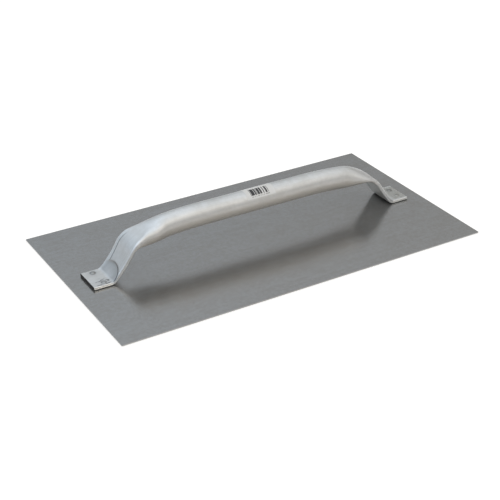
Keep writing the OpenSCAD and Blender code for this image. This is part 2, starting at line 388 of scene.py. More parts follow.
def drawnAluminium():
    # drawn tube, left bare: satin silver with faint lengthwise lines and cloudy handling marks
    material, tree = newMaterial("drawnAluminium")
    place = add(tree, "ShaderNodeAttribute", attribute_name="tubePlace", out="Vector")
    lines = add(tree, cloudy, add(tree, stretch, place, None, None, perMetre(handle["drawnLine"])),
                None, 1.0, 3.0, 0.6)
    clouds = add(tree, cloudy, add(tree, stretch, place, None, None, perMetre(handle["cloud"])),
                 None, 1.0, 3.0, 0.55)
    mottle = add(tree, cloudy, add(tree, stretch, place, None, None, perMetre(handle["mottle"])),
                 None, 1.0, 2.0, 0.5)
    uneven = add(tree, blend, handle["mottleShare"], None, lines, mottle)
    uneven = add(tree, blend, handle["cloudShare"], None, uneven, clouds)
    share = add(tree, ramp, uneven, *handle["contrast"], 0.0, 1.0)
    colour = add(tree, blend, share,
                 named={6: linear(handle["aluminium"]), 7: linear(handle["aluminiumDull"])},
                 data_type="RGBA", out=2)
    low, high = handle["roughness"]
    roughness = add(tree, ramp, uneven, *handle["sheen"], low, high)

    # underside given painted shade and a warm painted reflection, from higher up on the grip than on the
    # risers
    reach = add(tree, "ShaderNodeSeparateXYZ", place, out=None)
    start, stop = handle["gripAlong"]
    onGrip = add(tree, calc, reach["X"], operation="ABSOLUTE")
    onGrip = add(tree, ramp, onGrip, start * mm, stop * mm, 1.0, 0.0)
    start, stop = (add(tree, ramp, onGrip, 0.0, 1.0, riser * mm, grip * mm)
                   for riser, grip in zip(handle["riserBelow"], handle["gripBelow"]))
    below = add(tree, ramp, reach["Z"], start, stop, 0.0, 1.0)
    colour = add(tree, blend, below, named={6: colour, 7: linear(handle["undersideShade"])},
                 data_type="RGBA", out=2)

    # scuffed right foot with painted shade, polished edges of the feet with a painted highlight, and
    # painted shade in the creases, dents and under the feet's edges
    start, stop = handle["scuffAbove"]
    scuffAndShade = add(tree, ramp, reach["Z"], start * mm, stop * mm, 0.0, 1.0)
    start, stop = handle["scuffFrom"]
    scuffAndShade = add(tree, ramp, reach["X"], start * mm, stop * mm, 0.0, scuffAndShade)
    spots = add(tree, cloudy, add(tree, stretch, place, None, None, perMetre(handle["scuffSpot"])),
                None, 1.0, 3.0, 0.6)
    spots = add(tree, ramp, spots, *handle["scuffContrast"], handle["scuffLeast"], 1.0)
    scuffAndShade = add(tree, calc, scuffAndShade, spots, operation="MULTIPLY")
    colour = add(tree, blend, scuffAndShade, named={6: colour, 7: linear(handle["scuffAndShade"])},
                 data_type="RGBA", out=2)
    roughness = add(tree, ramp, scuffAndShade, 0.0, 1.0, roughness, handle["scuffRoughness"])
    worn = add(tree, "ShaderNodeAttribute", attribute_name="worn", out="Fac")
    colour = add(tree, blend, worn, named={6: colour, 7: linear(handle["worn"])}, data_type="RGBA", out=2)
    roughness = add(tree, ramp, worn, 0.0, 1.0, roughness, handle["wornRoughness"])
    # painted shade laid over all of it
    crease = add(tree, "ShaderNodeAttribute", attribute_name="crease", out="Fac")
    colour = add(tree, blend, crease, named={6: colour, 7: linear(handle["grime"])},
                 data_type="RGBA", out=2)
    finishMaterial(tree, {"Base Color": colour, "Metallic": handle["metallic"], "Roughness": roughness},
                   lines, handle["lineDepth"])
    return material


def shadedSawnEnd():
    # saw cut: painted shade, nearly black and dull
    material, tree = newMaterial("shadedSawnEnd")
    place = add(tree, "ShaderNodeTexCoord", out="Object")
    teeth = add(tree, cloudy, add(tree, stretch, place, None, None, perMetre(handle["sawTooth"])),
                None, 1.0, 2.0)
    colour = add(tree, blend, teeth, named={6: linear(handle["sawn"]), 7: linear(handle["sawnDark"])},
                 data_type="RGBA", out=2)
    finishMaterial(tree, {"Base Color": colour, "Roughness": handle["sawnRoughness"],
                          "Specular IOR Level": handle["sawnShine"]}, teeth, handle["sawDepth"])
    return material


def tubeTree(sizes):
    tree, size = newTree("bentTube", sizes)

    # axis: straight runs between corners, with an arc at each bend
    radius = add(tree, "GeometryNodeInputNamedAttribute", "bendRadius", data_type="FLOAT")
    corners = add(tree, "GeometryNodeMeshToCurve", size["Geometry"])
    axis = add(tree, "GeometryNodeFilletCurve", corners, size["bendPoints"], radius, mode="POLY")
    half = add(tree, calc, add(tree, "GeometryNodeCurveLength", axis), 0.5, operation="MULTIPLY")

    # skin: X of the grid runs along the axis and Y around it, and most stations are where it is pressed
    grid = add(tree, "GeometryNodeMeshGrid", 2.0, 1.0, size["stations"], size["sides"])
    place = add(tree, "ShaderNodeSeparateXYZ", add(tree, "GeometryNodeInputPosition"), out=None)
    reach = add(tree, calc, place["X"], operation="ABSOLUTE")
    hand = add(tree, calc, place["X"], operation="SIGN")
    perSide = ("FootFlat", "FootReach", "FlatLength", "Pressing", "Under", "Swell", "Worn",
               "OvalFrom", "OvalTo")
    footFlat, footReach, flatLength, pressing, under, ovalSwell, wornRise, ovalFrom, ovalTo = (
        add(tree, ramp, hand, -1.0, 1.0, size["left" + key], size["right" + key]) for key in perSide)
    pressedReach = add(tree, calc, flatLength, pressing, operation="ADD")
    roundReach = add(tree, calc, half, pressedReach, operation="SUBTRACT")
    onRound = add(tree, ramp, reach, 0.0, size["gripShare"], 0.0, roundReach)
    onPressed = add(tree, ramp, reach, size["gripShare"], 1.0, 0.0, pressedReach)
    fromMiddle = add(tree, calc, onRound, onPressed, operation="ADD")
    fromEnd = add(tree, calc, half, fromMiddle, operation="SUBTRACT")
    signed = add(tree, calc, hand, fromMiddle, operation="MULTIPLY")
    stop = add(tree, calc, signed, half, operation="ADD")
    onAxis = add(tree, "GeometryNodeSampleCurve", axis, None, None, stop, mode="LENGTH", out=None)

    # how far the tube is pressed flat here, and how much of its rims is left
    flatness = add(tree, ramp, fromEnd, flatLength, pressedReach, 1.0, 0.0,
                   interpolation_type="SMOOTHSTEP")
    rimShare = add(tree, ramp, fromEnd, footReach,
                   add(tree, calc, footReach, size["rimFade"], operation="ADD"), 0.0, 1.0,
                   interpolation_type="SMOOTHSTEP")
    pressed = add(tree, ramp, flatness, size["rimFrom"], 1.0, 0.0, rimShare,
                  interpolation_type="SMOOTHSTEP")
    riserWidth = add(tree, ramp, fromEnd, footReach, flatLength, size["riserWidth"], size["riserTopWidth"])
    strip = add(tree, ramp, rimShare, 0.0, 1.0, size["footWidth"], riserWidth)
    width = add(tree, ramp, flatness, 0.0, 1.0, size["gripDiameter"], strip)
    middle = add(tree, ramp, flatness, 0.0, 1.0, size["gripDiameter"], size["strap"])
    swell = add(tree, calc, pressed, size["rimSwell"], operation="MULTIPLY")
    rim = add(tree, calc, middle, swell, operation="ADD")
    rimRadius = add(tree, calc, rim, 0.5, operation="MULTIPLY")
    halfFlat = add(tree, calc, add(tree, calc, width, rim, operation="SUBTRACT"), 0.5, operation="MULTIPLY")

    # half the section from the middle of its top: a flat, half a circle round the edge, a flat
    turnShare = add(tree, calc, place["Y"], operation="ABSOLUTE")
    turnShare = add(tree, calc, turnShare, 2.0, operation="MULTIPLY")
    wave = add(tree, calc, add(tree, calc, turnShare, 2 * math.pi, operation="MULTIPLY"), operation="SINE")
    crowding = add(tree, calc, size["crowding"], 2 * math.pi, operation="DIVIDE")
    turnShare = add(tree, calc, wave, crowding, turnShare, operation="MULTIPLY_ADD")
    edgeRun = add(tree, calc, rimRadius, math.pi, operation="MULTIPLY")
    halfRound = add(tree, calc, halfFlat, 2.0, edgeRun, operation="MULTIPLY_ADD")
    run = add(tree, calc, turnShare, halfRound, operation="MULTIPLY")
    beyond = add(tree, calc, run, halfFlat, operation="SUBTRACT")
    turn = add(tree, ramp, beyond, 0.0, edgeRun, 0.0, math.pi)
    facing = add(tree, calc, turn, operation="COSINE")
    power = add(tree, ramp, flatness, size["edgeFrom"], 1.0, 2.0, size["edgePower"])
    bulge = add(tree, calc, add(tree, calc, facing, operation="ABSOLUTE"), power, operation="POWER")
    bulge = add(tree, calc, add(tree, calc, 1.0, bulge, operation="SUBTRACT", use_clamp=True),
                add(tree, calc, 1.0, power, operation="DIVIDE"), operation="POWER")
    bulge = add(tree, calc, rimRadius, bulge, operation="MULTIPLY")
    offSeam = add(tree, calc, turn, math.pi / 2, operation="SUBTRACT")
    offSeam = add(tree, calc, offSeam, operation="ABSOLUTE")
    seam = add(tree, ramp, offSeam, 0.0, size["seamHalf"], size["seamDepth"], 0.0,
               interpolation_type="SMOOTHSTEP")
    seam = add(tree, calc, seam, add(tree, ramp, flatness, size["seamFrom"], 1.0, 0.0, 1.0),
               operation="MULTIPLY")
    squared = add(tree, calc, add(tree, calc, turn, 0.5, operation="MULTIPLY"), operation="SINE")
    squared = add(tree, calc, rimRadius, squared, operation="MULTIPLY")
    onFoot = add(tree, ramp, fromEnd, footFlat, footReach, 1.0, 0.0,
                 interpolation_type="SMOOTHSTEP")
    squared = add(tree, blend, size["footSquare"], None, bulge, squared)
    bulge = add(tree, ramp, onFoot, 0.0, 1.0, bulge, squared)
    bulge = add(tree, calc, bulge, seam, operation="SUBTRACT")
    back = add(tree, calc, add(tree, calc, beyond, edgeRun, operation="SUBTRACT"), 0.0, operation="MAXIMUM")
    leftOver = add(tree, calc, back, add(tree, calc, halfFlat, size["leastFlat"], operation="MAXIMUM"),
                   operation="DIVIDE")
    leftOver = add(tree, calc, 1.0, leftOver, operation="SUBTRACT", use_clamp=True)
    bulge = add(tree, calc, bulge, leftOver, operation="MULTIPLY")
    across = add(tree, calc, run, halfFlat, operation="MINIMUM")
    across = add(tree, calc, across, back, operation="SUBTRACT")
    across = add(tree, calc, across, bulge, operation="ADD")

    # press mark: half an ellipse above the foot bend, sunk into the outer face of each riser
    tongueEnd = add(tree, calc, footReach, size["tongueRise"], operation="ADD")
    sideShare = add(tree, calc, across, size["tongueHalf"], operation="DIVIDE")
    upShare = add(tree, ramp, fromEnd, footReach, tongueEnd, 0.0, 1.0, clamp=False)
    upShare = add(tree, calc, upShare, 0.0, operation="MAXIMUM")
    ellipse = add(tree, "ShaderNodeVectorMath", add(tree, "ShaderNodeCombineXYZ", sideShare, upShare),
                  operation="LENGTH", out="Value")
    gap = add(tree, calc, add(tree, calc, ellipse, 1.0, operation="SUBTRACT"), size["tongueRise"],
              operation="MULTIPLY")
    raised = add(tree, ramp, gap, 0.0, size["tongueEdge"], 0.0, size["tongueDepth"],
                 interpolation_type="SMOOTHSTEP")
    outside = add(tree, ramp, facing, 0.0, 1.0, 0.0, pressed)
    raised = add(tree, calc, raised, outside, operation="MULTIPLY")
    onTop = add(tree, ramp, facing, 0.0, 1.0, 0.0, 1.0)
    inwards = add(tree, calc, add(tree, calc, halfFlat, across, operation="SUBTRACT"), 0.0,
                  operation="MAXIMUM")
    rear = add(tree, ramp, place["Y"], size["rearAt"], size["rearAll"], 0.0, 1.0)
    inside = add(tree, ramp, inwards, 0.0, size["creaseIn"], 0.0, 1.0)
    onTop = add(tree, calc, onTop, add(tree, ramp, rear, 0.0, 1.0, 1.0, inside), operation="MULTIPLY")
    sinking = add(tree, ramp, fromEnd, footReach, tongueEnd, 0.0, size["tongueSink"])
    sunk = add(tree, ramp, gap, add(tree, calc, size["tongueEdge"], -1.0, operation="MULTIPLY"), 0.0,
               sinking, 0.0, interpolation_type="SMOOTHSTEP")
    sunk = add(tree, calc, sunk, onTop, operation="MULTIPLY")
    raised = add(tree, calc, raised, sunk, operation="SUBTRACT")

    # thickness: the flat, or the round of the rim where that stands higher
    level = add(tree, calc, middle, 0.5, raised, operation="MULTIPLY_ADD")
    hump = add(tree, calc, add(tree, calc, rimRadius, 2.0, operation="POWER"),
               add(tree, calc, inwards, 2.0, operation="POWER"), operation="SUBTRACT")
    hump = add(tree, calc, add(tree, calc, hump, 0.0, operation="MAXIMUM"), operation="SQRT")
    thick = add(tree, calc, level, hump, add(tree, calc, swell, size["rimBlend"], operation="MULTIPLY"),
                operation="SMOOTH_MAX")

    # creases: one along the inside of each rim down to the press mark, one round the mark itself
    taper = add(tree, ramp, fromEnd, footReach, flatLength, 1.0, size["creaseTaper"])
    creaseAt = add(tree, calc, size["creaseIn"], taper, operation="MULTIPLY")
    offCrease = add(tree, calc, add(tree, calc, inwards, creaseAt, operation="SUBTRACT"),
                    operation="ABSOLUTE")
    folded = add(tree, ramp, flatness, size["creaseFrom"], 1.0, 0.0, pressed)
    byRim = add(tree, ramp, offCrease, 0.0, size["creaseHalf"], folded, 0.0,
                interpolation_type="SMOOTHSTEP")
    aboveMark = add(tree, ramp, gap, 0.0, size["tongueEdge"], 0.0, 1.0)
    byRim = add(tree, calc, byRim, aboveMark, operation="MULTIPLY")
    kept = add(tree, ramp, place["Y"], size["frontAt"], size["rearAt"], size["creaseFront"], 1.0)
    byRim = add(tree, calc, byRim, kept, operation="MULTIPLY")
    fading = add(tree, ramp, fromEnd, footFlat, footReach, 0.0, onTop)
    byMark = add(tree, ramp, add(tree, calc, gap, operation="ABSOLUTE"), 0.0, size["tongueEdge"],
                 fading, 0.0, interpolation_type="SMOOTHSTEP")
    crease = add(tree, calc, byRim, byMark, operation="MAXIMUM")
    thick = add(tree, calc, thick, add(tree, calc, crease, size["creaseDepth"], operation="MULTIPLY"),
                operation="SUBTRACT")
    # the darkening of the creases and the press mark's edge is painted shade, weaker at the rear, and more
    # painted shade spreads beside the mark
    kept = add(tree, ramp, place["Y"], size["frontAt"], size["rearAt"], 1.0, size["tongueRear"])
    byMark = add(tree, calc, byMark, kept, operation="MULTIPLY")
    crease = add(tree, calc, byRim, byMark, operation="MAXIMUM")
    markShade = add(tree, ramp, gap, add(tree, calc, size["smearReach"], -1.0, operation="MULTIPLY"), 0.0,
                0.0, size["tongueSmear"])
    markShade = add(tree, calc, markShade, add(tree, ramp, gap, 0.0, size["smearOut"], fading, 0.0),
                operation="MULTIPLY")
    crease = add(tree, calc, crease, markShade, operation="MAXIMUM")
    # painted shade under the feet's edges, where they meet the blade
    underneath = add(tree, ramp, turn, size["grimeFrom"], size["grimeTo"], 0.0,
                     add(tree, ramp, fromEnd, footFlat, footReach, 1.0, 0.0))
    crease = add(tree, calc, crease, underneath, operation="MAXIMUM")
    # wear with a painted highlight along the feet's edges, fading up the riser
    wornReach = add(tree, calc, footFlat, wornRise, operation="ADD")
    wornShare = add(tree, ramp, fromEnd, footFlat, wornReach, 1.0, 0.0)
    sideways = add(tree, calc, turn, operation="SINE")
    worn = add(tree, ramp, sideways, size["wornFrom"], size["wornTo"], 0.0, wornShare)
    rise = add(tree, calc, facing, thick, operation="MULTIPLY")

    # the tube is oval where it goes from round to flat
    oval = add(tree, ramp, flatness, ovalFrom, ovalTo, 1.0, 0.0, interpolation_type="SMOOTHSTEP")
    underReach = add(tree, calc, flatLength, under, operation="ADD")
    underFlat = add(tree, ramp, fromEnd, flatLength, underReach, 1.0, 0.0,
                    interpolation_type="SMOOTHSTEP")
    underMiddle = add(tree, ramp, underFlat, 0.0, 1.0, size["gripDiameter"], size["strap"])
    fuller = add(tree, calc, underMiddle, middle, operation="DIVIDE")
    halfway = add(tree, calc, flatness, add(tree, calc, 1.0, flatness, operation="SUBTRACT"),
                  operation="MULTIPLY")
    swollen = add(tree, calc, halfway, add(tree, calc, ovalSwell, 4.0, operation="MULTIPLY"), width,
                  operation="MULTIPLY_ADD")
    ovalTurn = add(tree, calc, turnShare, math.pi, operation="MULTIPLY")
    ovalSide = add(tree, calc, add(tree, calc, swollen, 0.5, operation="MULTIPLY"),
                   add(tree, calc, ovalTurn, operation="SINE"), operation="MULTIPLY")
    ovalRise = add(tree, calc, add(tree, calc, middle, 0.5, operation="MULTIPLY"),
                   add(tree, calc, ovalTurn, operation="COSINE"), operation="MULTIPLY")
    across = add(tree, blend, oval, None, across, ovalSide)
    rise = add(tree, blend, oval, None, rise, ovalRise)
    below = add(tree, calc, rise, 0.0, operation="LESS_THAN")
    rise = add(tree, calc, rise, add(tree, ramp, below, 0.0, 1.0, 1.0, fuller), operation="MULTIPLY")
    across = add(tree, calc, across, add(tree, calc, place["Y"], operation="SIGN"), operation="MULTIPLY")

    # section put on the axis, upright to it
    slope = add(tree, "ShaderNodeSeparateXYZ", onAxis["Tangent"], out=None)
    upright = add(tree, "ShaderNodeCombineXYZ", add(tree, calc, slope["Z"], -1.0, operation="MULTIPLY"),
                  0.0, slope["X"])
    offset = add(tree, "ShaderNodeVectorMath", upright, named={"Scale": rise}, operation="SCALE")
    offset = add(tree, "ShaderNodeVectorMath", offset, add(tree, "ShaderNodeCombineXYZ", 0.0, across))
    target = add(tree, "ShaderNodeVectorMath", onAxis["Position"], offset)

    # place on the straight round tube that it was made from, for the lines in its metal
    angle = add(tree, calc, place["Y"], 2 * math.pi, operation="MULTIPLY")
    tubeRadius = add(tree, calc, size["gripDiameter"], 0.5, operation="MULTIPLY")
    beside = add(tree, calc, tubeRadius, add(tree, calc, angle, operation="SINE"), operation="MULTIPLY")
    upwards = add(tree, calc, tubeRadius, add(tree, calc, angle, operation="COSINE"), operation="MULTIPLY")
    before = add(tree, "ShaderNodeCombineXYZ", signed, beside, upwards)

    # the finished skin, with what its material needs
    skin = grid
    for name, value, kind in (("tubePlace", before, "FLOAT_VECTOR"), ("crease", crease, "FLOAT"),
                              ("worn", worn, "FLOAT")):
        skin = add(tree, "GeometryNodeStoreNamedAttribute", skin, None, name, value,
                   data_type=kind, domain="POINT")
    skin = add(tree, "GeometryNodeSetPosition", skin, None, target)
    skin = add(tree, "GeometryNodeMergeByDistance", skin, None, 2 * oneSpot)
    skin = add(tree, "GeometryNodeSetShadeSmooth", skin)
    skin = add(tree, "GeometryNodeRealizeInstances", skin)
    skin = add(tree, "GeometryNodeSetMaterial", skin, None, size["metal"])
    add(tree, "NodeGroupOutput", skin, out=None)
    return tree


def bendRun(radius, angle):
    # from a bend's corner to where its arc starts
    return radius * mm * math.tan(angle / 2)


def riserCorners(bends, endX, footZ, gripZ):
    # corners of half the axis as (x, z, radius) from the grip to the end, and the riser's length
    shoulder, top, foot = (math.radians(angle) for angle in (
        handle["shoulderAngle"], bends["topAngle"], bends["footAngle"]))
    footX = endX - bends["footLength"] * mm - bendRun(bends["footRadius"], foot)
    run = bendRun(handle["shoulderRadius"], shoulder) + bendRun(bends["topRadius"], top - shoulder)
    topZ = gripZ - run * math.sin(shoulder)
    bowZ = footZ + (topZ - footZ) * bends["bowShare"]
    bowX = footX - (bowZ - footZ) / math.tan(foot)
    topX = bowX - (topZ - bowZ) / math.tan(top)
    riser = math.dist((topX, topZ), (bowX, bowZ)) + math.dist((bowX, bowZ), (footX, footZ))
    riser += bends["bowRadius"] * mm * (top - foot) - 2 * bendRun(bends["bowRadius"], top - foot)
    riser -= bendRun(bends["topRadius"], top - shoulder) + bendRun(bends["footRadius"], foot)
    return [
        (topX - run * math.cos(shoulder), gripZ, handle["shoulderRadius"]),
        (topX, topZ, bends["topRadius"]),
        (bowX, bowZ, bends["bowRadius"]),
        (footX, footZ, bends["footRadius"]),
        (endX, footZ, 0.0),
    ], riser / mm


def sawEnds(bm, low, high):
    # closes both ends round the hairline slit that is left between the pressed walls
    tube = handle["tube"]
    halfStrap = tube["strap"] * mm / 2
    halfFlat = (high.y - low.y) / 2 - halfStrap
    edge = handle["sawnEdge"] * mm
    mouth = handle["slit"] / tube["strap"]
    deep = handle["slitDepth"] * mm
    inside = 1 - edge / halfStrap
    steps = [(0.0, 1.0, inside), (0.0, inside, mouth), (deep, mouth, mouth)]
    for side, end in ((-1, low.x), (1, high.x)):
        loop = [e for e in bm.edges if e.is_boundary and e.verts[0].co.x * side > 0]
        footZ = sum(e.verts[0].co.z for e in loop) / len(loop)
        for vert in {v for e in loop for v in e.verts}:
            vert.co.x = end - side * edge
        for setback, before, share in steps:
            made = bmesh.ops.extrude_edge_only(bm, edges=loop)["geom"]
            for face in [g for g in made if isinstance(g, bmesh.types.BMFace)]:
                face.material_index = 1
            old = {v for e in loop for v in e.verts}
            verts = [g for g in made if isinstance(g, bmesh.types.BMVert) and g not in old]
            loop = [g for g in made if isinstance(g, bmesh.types.BMEdge) and g.is_boundary]
            for vert in verts:
                core = max(-halfFlat, min(halfFlat, vert.co.y))
                full = Vector((vert.co.y - core, vert.co.z - footZ)) * share / before
                vert.co = (end - side * setback, core + full.x, footZ + full.y)
        for face in bmesh.ops.holes_fill(bm, edges=loop, sides=0)["faces"]:
            face.material_index = 1


def hammer(bm, rivetPlaces, top):
    # dents in the top of the feet, with painted shade in them and round the rivet heads, and a darker patch
    # about some rivets
    marks = handle["marks"]
    shadeLayer = bm.verts.layers.float["crease"]
    onTop = [vert for vert in bm.verts if abs(vert.co.z - top) < marks["onTop"] * mm]
    along, across = marks["size"]
    for name, centre in rivetPlaces.items():
        missed, headShade, darkerNear = marks[name]
        for vert in onTop:
            away = (vert.co - centre).xy.length / mm
            bump = noise.noise(Vector((vert.co.x / along, vert.co.y / across, 0)) / mm)
            near = math.exp(-(away / marks["reach"]) ** 4)
            dent = missed * max(0.0, bump - marks["least"]) * near
            halo = headShade * math.exp(-((away - rivets["headRadius"]) / rivets["headShadeWidth"]) ** 2)
            vert.co.z -= dent * marks["depth"] * mm
            darkening = max(min(marks["greaseMost"], marks["greaseGain"] * dent), halo, darkerNear * near)
            vert[shadeLayer] = max(vert[shadeLayer], darkening)


def makeHandle(rivetPlaces):
    low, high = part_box("handle_tube")
    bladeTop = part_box("blade")[1].z
    tube = handle["tube"]
    footZ = bladeTop + tube["strap"] * mm / 2
    gripZ = high.z - tube["gripDiameter"] * mm / 2
    corners = []
    lengths = {**tube, "footWidth": (high.y - low.y) / mm}
    shares = dict(handle["shares"])
    for side, sign in (("left", -1), ("right", 1)):
        bends = handle[side]
        half, riser = riserCorners(bends, high.x, footZ, gripZ)
        corners += [(sign * x, z, radius) for x, z, radius in (half if sign > 0 else reversed(half))]
        footReach = bends["footLength"] + bends["footRadius"] * math.radians(bends["footAngle"])
        lengths[side + "FootFlat"] = bends["footLength"]
        lengths[side + "FootReach"] = footReach
        lengths[side + "FlatLength"] = footReach + riser
        lengths[side + "Pressing"] = bends["pressing"]
        lengths[side + "Under"] = bends["under"]
        lengths[side + "Swell"] = bends["swell"]
        lengths[side + "Worn"] = bends["worn"] * riser
        shares[side + "OvalFrom"], shares[side + "OvalTo"] = bends["ovalGone"]
    piece = newPiece("handle_tube_bent", [(x, 0, z) for x, z, radius in corners],
                     [(i, i + 1) for i in range(len(corners) - 1)])
    radii = piece.data.attributes.new("bendRadius", "FLOAT", "POINT")
    radii.data.foreach_set("value", [radius * mm for x, z, radius in corners])
    sizes = {**inMetres(lengths), **shares, "metal": drawnAluminium()}
    runTree(piece, tubeTree(sizes), sizes)
    piece.data.materials.append(shadedSawnEnd())
    bm = bmesh.new()
    bm.from_mesh(piece.data)
    hammer(bm, rivetPlaces, footZ + tube["strap"] * mm / 2)
    sawEnds(bm, low, high)
    closeUp(piece, bm, handle["sharp"])
    return piece


# Rivets: four solid steel rivets, flush under the blade and hammered over on the feet

rivets = {
    "steel": "#B4B4B1",
    "steelDark": "#6F6C68",
    "patch": 1.2,                 # mm, hammered bright or left dark
    "patchClean": 0.4,            # how much a bright patch takes off the painted shade at the edge
    "patchContrast": (0.45, 0.65),
    "patchDark": 0.6,
    "patchDepth": 0.03,           # mm
    "footToned": "#A6A49D",         # the right front one, in the foot's colour with its scuffs and painted shade
    "footTonedShare": 0.85,
    "roughness": 0.4,
    "scuffAndShade": "#9C9B97",         # the right-hand pair, darker as painted shade
    "headShadeWidth": 1.1,           # mm of painted shade beyond the head
    "shankRadius": 2.1,           # mm
    "sunkRadius": 3.3,
    "headRadius": 3.2,
    "headHeight": 0.8,
    "headSteps": 10,
    "sharp": 40.0,                # degrees, the least that makes an edge
    "setting": {                  # mm, a count and a seed
        "sides": 48,
        "beating": 0.35,          # how far the hammer has moved the heads
        "beatSize": 2.2,
        "seed": 7,
    },
    "shares": {
        "beatenLeast": 0.4,       # of beating, for the head that is hit least
        "beatenMost": 1.0,
        "lumpFrom": 0.25,         # noise that goes with the lowest and the highest lumps
        "lumpTo": 0.75,
        "edgeFrom": 0.1,          # share of the head's height where its painted shade at the edge starts to fade
        "edgeTo": 0.8,            # and where it is gone
    },
}


def hammeredSteel():
    # plain steel rivet: hammered patches, bright and brown-grey, and painted shade round the edge of its
    # head
    material, tree = newMaterial("hammeredSteel")
    place = add(tree, "ShaderNodeTexCoord", out="Object")
    patches = add(tree, cloudy, add(tree, stretch, place, None, None, perMetre(rivets["patch"])),
                  None, 1.0, 3.0)
    grime = add(tree, "ShaderNodeAttribute", attribute_name="edge", out="Fac")
    share = add(tree, calc, patches, -rivets["patchClean"], grime, operation="MULTIPLY_ADD", use_clamp=True)
    dark = add(tree, ramp, patches, *rivets["patchContrast"], 0.0, rivets["patchDark"])
    share = add(tree, calc, share, dark, operation="MAXIMUM")
    spot = add(tree, "ShaderNodeSeparateXYZ", place, out=None)
    right = add(tree, calc, spot["X"], 0.0, operation="GREATER_THAN")
    front = add(tree, calc, spot["Y"], 0.0, operation="LESS_THAN")
    footToned = add(tree, calc, right, front, operation="MULTIPLY")
    footToned = add(tree, calc, footToned, rivets["footTonedShare"], operation="MULTIPLY")
    colour = add(tree, blend, right, named={6: linear(rivets["steel"]), 7: linear(rivets["scuffAndShade"])},
                 data_type="RGBA", out=2)
    colour = add(tree, blend, share, named={6: colour, 7: linear(rivets["steelDark"])},
                 data_type="RGBA", out=2)
    colour = add(tree, blend, footToned, named={6: colour, 7: linear(rivets["footToned"])},
                 data_type="RGBA", out=2)
    finishMaterial(tree, {"Base Color": colour, "Metallic": 1.0, "Roughness": rivets["roughness"]},
                   patches, rivets["patchDepth"])
    return material


def rivetProfile(low, bladeTop, footTop):
    # from the flush head's middle, up the shank and over the domed head to its crown
    head = rivets["headRadius"] * mm
    height = rivets["headHeight"] * mm
    dome = (head ** 2 + height ** 2) / (2 * height)
    points = [(0.0, low), (rivets["sunkRadius"] * mm, low), (rivets["shankRadius"] * mm, bladeTop),
              (rivets["shankRadius"] * mm, footTop), (head, footTop)]
    for step in range(1, rivets["headSteps"] + 1):
        radius = head * (1 - step / rivets["headSteps"])
        points.append((radius, footTop + height - dome + math.sqrt(dome ** 2 - radius ** 2)))
    return [Vector((x, -z, 0)) for x, z in points]  # a circle turns its profile upside down


def rivetTree(sizes, names):
    tree, size = newTree("setRivets", sizes)

    # one rivet: its profile turned round a circle that has no size
    profile = add(tree, "GeometryNodeMeshToCurve", size["Geometry"])
    circle = add(tree, "GeometryNodeCurvePrimitiveCircle", size["sides"], named={"Radius": oneSpot / 10})
    rivet = add(tree, "GeometryNodeCurveToMesh", circle, profile)
    rivet = add(tree, "GeometryNodeMergeByDistance", rivet, None, oneSpot)

    # one point for each rivet
    index = add(tree, "GeometryNodeInputIndex")
    switch = tree.nodes.new("GeometryNodeIndexSwitch")
    switch.data_type = "VECTOR"
    while len(switch.index_switch_items) < len(names):
        switch.index_switch_items.new()
    tree.links.new(index, switch.inputs["Index"])
    for i, name in enumerate(names):
        tree.links.new(size[name], switch.inputs[str(i)])
    points = add(tree, "GeometryNodePoints", len(names), switch.outputs[0])
    chance = {"ID": index, "Seed": size["seed"]}
    twist = add(tree, "FunctionNodeRandomValue", named={2: 0.0, 3: 2 * math.pi, **chance}, out=1)
    turned = add(tree, "ShaderNodeCombineXYZ", 0.0, 0.0, twist)
    beaten = add(tree, "FunctionNodeRandomValue",
                 named={2: size["beatenLeast"], 3: size["beatenMost"], **chance}, out=1)
    points = add(tree, "GeometryNodeStoreNamedAttribute", points, None, "beaten", beaten,
                 data_type="FLOAT", domain="POINT")
    heads = add(tree, "GeometryNodeInstanceOnPoints", points, named={"Instance": rivet, "Rotation": turned})
    heads = add(tree, "GeometryNodeRealizeInstances", heads)

    # hammering: the part above the foot is pushed about, each head by its own amount
    place = add(tree, "GeometryNodeInputPosition")
    height = add(tree, "ShaderNodeSeparateXYZ", place, out="Z")
    above = add(tree, ramp, height, size["footTop"], size["crown"], 0.0, 1.0)
    scale = add(tree, calc, 1.0, size["beatSize"], operation="DIVIDE")
    lumps = add(tree, cloudy, place, size["seed"], scale, 1.0, noise_dimensions="4D")
    inwards = add(tree, calc, size["beating"], -1.0, operation="MULTIPLY")
    push = add(tree, ramp, lumps, size["lumpFrom"], size["lumpTo"], inwards, size["beating"])
    push = add(tree, calc, push, above, operation="MULTIPLY")
    push = add(tree, calc, push, add(tree, "GeometryNodeInputNamedAttribute", "beaten", data_type="FLOAT"),
               operation="MULTIPLY")
    # painted shade round the lower edge of each head, where it meets the foot
    edge = add(tree, ramp, above, size["edgeFrom"], size["edgeTo"], 1.0, 0.0)
    edge = add(tree, calc, edge, add(tree, calc, height, size["bladeTop"], operation="GREATER_THAN"),
               operation="MULTIPLY")
    heads = add(tree, "GeometryNodeStoreNamedAttribute", heads, None, "edge", edge,
                data_type="FLOAT", domain="POINT")
    heads = add(tree, "GeometryNodeSetPosition", heads, None, None,
                add(tree, "ShaderNodeCombineXYZ", 0.0, 0.0, push))
    heads = add(tree, "GeometryNodeSetShadeSmooth", heads)
    heads = add(tree, "GeometryNodeRealizeInstances", heads)
    heads = add(tree, "GeometryNodeSetMaterial", heads, None, size["metal"])
    add(tree, "NodeGroupOutput", heads, out=None)
    return tree


